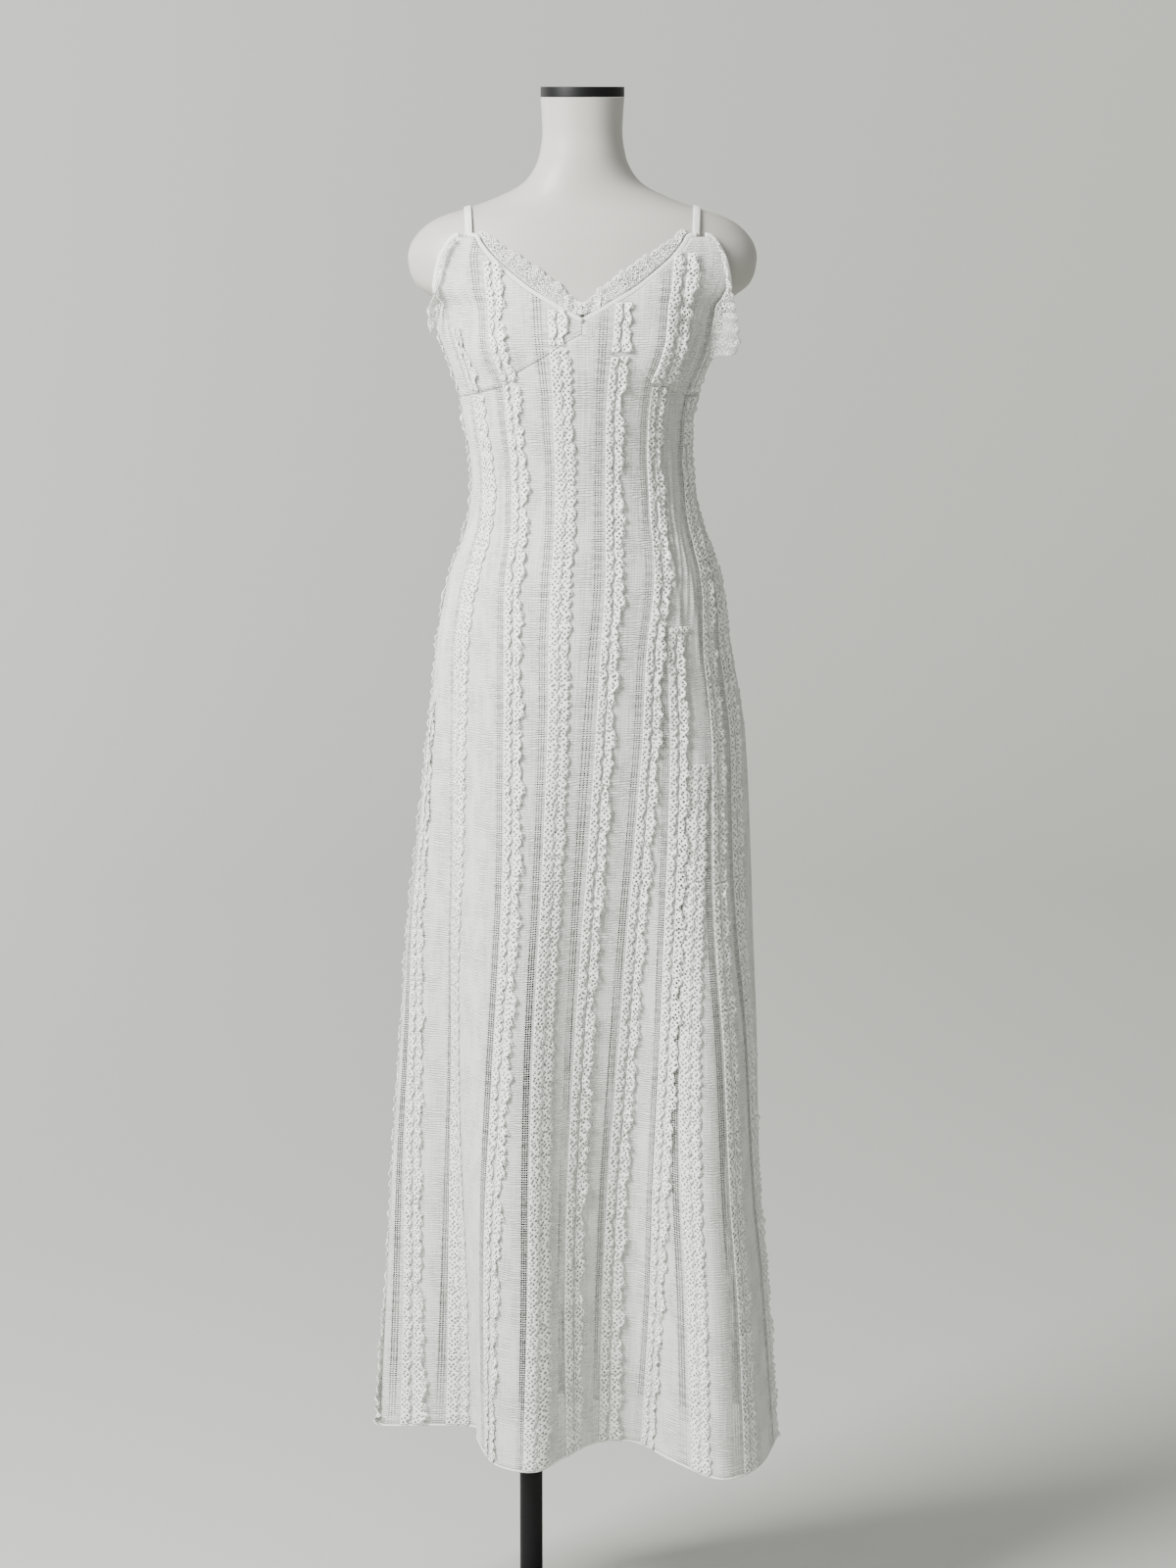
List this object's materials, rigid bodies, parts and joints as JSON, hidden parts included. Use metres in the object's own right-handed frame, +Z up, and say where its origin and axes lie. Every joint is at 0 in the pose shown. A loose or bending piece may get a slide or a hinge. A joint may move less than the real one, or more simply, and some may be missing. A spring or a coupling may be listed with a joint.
{
  "type": "lace camisole dress on a limbless dress form with a stand",
  "caption": "Long V-neck camisole dress of crinkled cotton gauze with upright lace ruffles, worn by a limbless dress form on a pole stand.",
  "frame": {"origin": "centre of the underside of the round base plate, on the floor under the form's axis", "axes": "+Z up along the form; the front of the dress faces -Y; +X is to the right as seen from the front"},
  "size_m": [0.4589, 0.3172, 1.7248],
  "materials": {
    "form_shell": "smooth satin",
    "black_enamel": "black satin enamel",
    "cotton_gauze": "crinkled white cotton gauze",
    "cotton_lace": "white cotton lace with a scalloped edge",
    "cotton_binding": "folded and stitched cotton tape"
  },
  "bodies": {
    "root": {"armhole_binding_left": "cotton_binding", "armhole_binding_right": "cotton_binding", "armhole_lace_left": "cotton_lace", "armhole_lace_right": "cotton_lace", "back_binding": "cotton_binding", "back_panel_inner_left": "cotton_gauze", "back_panel_inner_right": "cotton_gauze", "back_panel_left": "cotton_gauze", "back_panel_right": "cotton_gauze", "cup_ruffle_02": "cotton_lace", "cup_ruffle_03": "cotton_lace", "cup_ruffle_04": "cotton_lace", "cup_ruffle_05": "cotton_lace", "cup_ruffle_06": "cotton_lace", "cup_ruffle_09": "cotton_lace", "form_torso": "form_shell", "front_cup_left": "cotton_gauze", "front_cup_right": "cotton_gauze", "front_panel_centre": "cotton_gauze", "front_panel_left": "cotton_gauze", "front_panel_right": "cotton_gauze", "neck_binding_left": "cotton_binding", "neck_binding_right": "cotton_binding", "neck_cap": "black_enamel", "neck_lace_left": "cotton_lace", "neck_lace_right": "cotton_lace", "ruffle_01": "cotton_lace", "ruffle_02": "cotton_lace", "ruffle_03": "cotton_lace", "ruffle_04": "cotton_lace", "ruffle_05": "cotton_lace", "ruffle_06": "cotton_lace", "ruffle_07": "cotton_lace", "ruffle_08": "cotton_lace", "ruffle_09": "cotton_lace", "ruffle_10": "cotton_lace", "ruffle_11": "cotton_lace", "ruffle_12": "cotton_lace", "ruffle_13": "cotton_lace", "ruffle_14": "cotton_lace", "ruffle_15": "cotton_lace", "ruffle_16": "cotton_lace", "ruffle_17": "cotton_lace", "ruffle_18": "cotton_lace", "ruffle_19": "cotton_lace", "ruffle_20": "cotton_lace", "stand_base": "black_enamel", "stand_pole": "black_enamel", "stand_socket": "black_enamel", "strap_left": "cotton_binding", "strap_right": "cotton_binding"}
  },
  "joints": []
}
